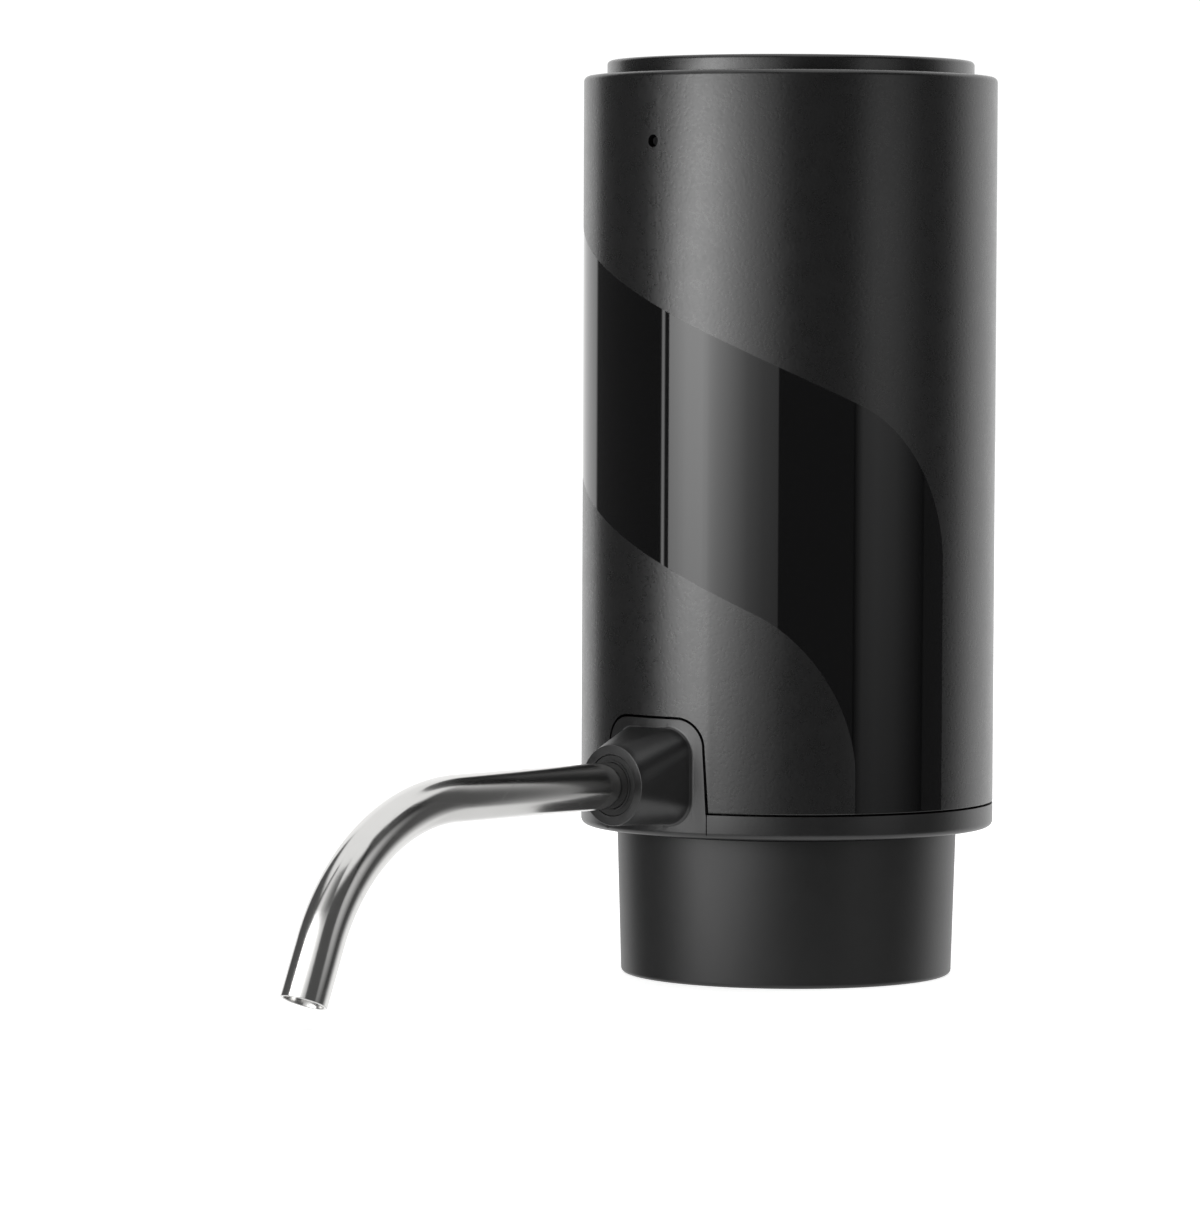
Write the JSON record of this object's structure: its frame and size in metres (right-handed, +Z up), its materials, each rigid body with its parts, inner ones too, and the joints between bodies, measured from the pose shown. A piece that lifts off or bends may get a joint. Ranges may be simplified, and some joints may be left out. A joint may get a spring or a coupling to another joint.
{
  "type": "electric wine aerator",
  "caption": "Battery electric wine aerator and pourer for a bottle's neck: black barrel with a push-button top, a neck collar below and a bent steel spout at the front.",
  "frame": {"origin": "on the barrel's axis, in the plane of the neck collar's mouth", "axes": "+Z up along the barrel, -Y along the spout, +X to the right when the spout is seen from the front"},
  "size_m": [0.048, 0.106, 0.106],
  "materials": {
    "shell_plastic": "fine matte texture with a polished slanting band",
    "base_plastic": "satin",
    "collar_plastic": "satin",
    "button_plastic": "satin",
    "spout_steel": "polished stainless",
    "dark_silicone": "satin",
    "pale_silicone": "satin",
    "inner_plastic": "satin",
    "dark_inner_plastic": "satin",
    "light_plastic": "tinted clear",
    "steel": "plain",
    "brass": "turned",
    "copper_wire": "enamelled",
    "ferrite": "matt",
    "laminate": "solder mask",
    "battery_wrap": "shrink-wrapped",
    "red_wire": "satin",
    "black_wire": "satin"
  },
  "bodies": {
    "housing": {"shell": "shell_plastic", "base": "base_plastic", "neck_collar": "collar_plastic", "light_guide": "light_plastic", "seam_gasket": "dark_silicone", "bottle_stopper": "dark_silicone", "wine_nipple": "inner_plastic", "air_nipple": "inner_plastic", "manifold": "inner_plastic", "check_valve": "pale_silicone", "valve_cap": "inner_plastic", "air_hose": "pale_silicone", "pump_cover": "inner_plastic", "valve_plate": "inner_plastic", "outlet_valve": "pale_silicone", "intake_valve_1": "pale_silicone", "intake_valve_2": "pale_silicone", "intake_valve_3": "pale_silicone", "diaphragm": "pale_silicone", "crankcase": "inner_plastic", "pump_screw_1": "steel", "pump_screw_2": "steel", "pump_screw_3": "steel", "motor_can": "steel", "motor_end_cap": "inner_plastic", "motor_magnet_1": "ferrite", "motor_magnet_2": "ferrite", "bearing_front": "brass", "bearing_rear": "brass", "motor_brush_1": "dark_inner_plastic", "motor_brush_2": "dark_inner_plastic", "motor_terminal_1": "brass", "motor_terminal_2": "brass", "chassis": "inner_plastic", "battery_cell": "battery_wrap", "main_pcb": "laminate", "usb_socket": "steel", "usb_tongue": "dark_inner_plastic", "switch_body": "dark_inner_plastic", "status_led": "pale_silicone", "button_spring": "steel", "collar_screw_1": "steel", "collar_screw_2": "steel", "collar_screw_3": "steel", "motor_lead_1": "red_wire", "motor_lead_2": "black_wire", "battery_lead_1": "red_wire", "battery_lead_2": "black_wire"},
    "button": {"top_button": "button_plastic"},
    "switch": {"switch_plunger": "inner_plastic"},
    "spout_plug": {"spout_seal": "dark_silicone"},
    "spout": {"spout_tube": "spout_steel"},
    "rotor": {"motor_shaft": "steel", "rotor_core": "steel", "rotor_winding": "copper_wire", "commutator": "brass", "eccentric": "brass"},
    "wobble": {"wobble_plate": "inner_plastic", "wobble_pin": "steel"}
  },
  "joints": [
    {"name": "button_press", "type": "slide", "parent": "housing", "child": "button", "axis": [0, 0, -1], "range_m": [0, 0.0008], "stiffness_N_per_m": 1500, "deforming": ["button_spring"]},
    {"name": "switch_press", "type": "slide", "parent": "housing", "child": "switch", "axis": [0, 0, -1], "range_m": [0, 0.0005]},
    {"name": "spout_pull", "type": "slide", "parent": "housing", "child": "spout_plug", "axis": [0, -1, 0], "range_m": [0, 0.0095]},
    {"name": "spout_swivel", "type": "hinge", "parent": "spout_plug", "child": "spout", "pos_m": [0, 0, 0.02345], "axis": [0, -1, 0], "continuous": true},
    {"name": "motor_spin", "type": "hinge", "parent": "housing", "child": "rotor", "pos_m": [0, -0.0069, 0.06], "axis": [0, 0, 1], "continuous": true, "deforming": ["diaphragm"]},
    {"name": "wobble_turn", "type": "hinge", "parent": "rotor", "child": "wobble", "pos_m": [0, -0.0069, 0.0519], "axis": [0, -0.0872, 0.9962], "continuous": true}
  ],
  "couplings": [
    {"joint": "switch_press", "follows": "button_press", "ratio": 0.625},
    {"joint": "wobble_turn", "follows": "motor_spin", "ratio": -1}
  ]
}
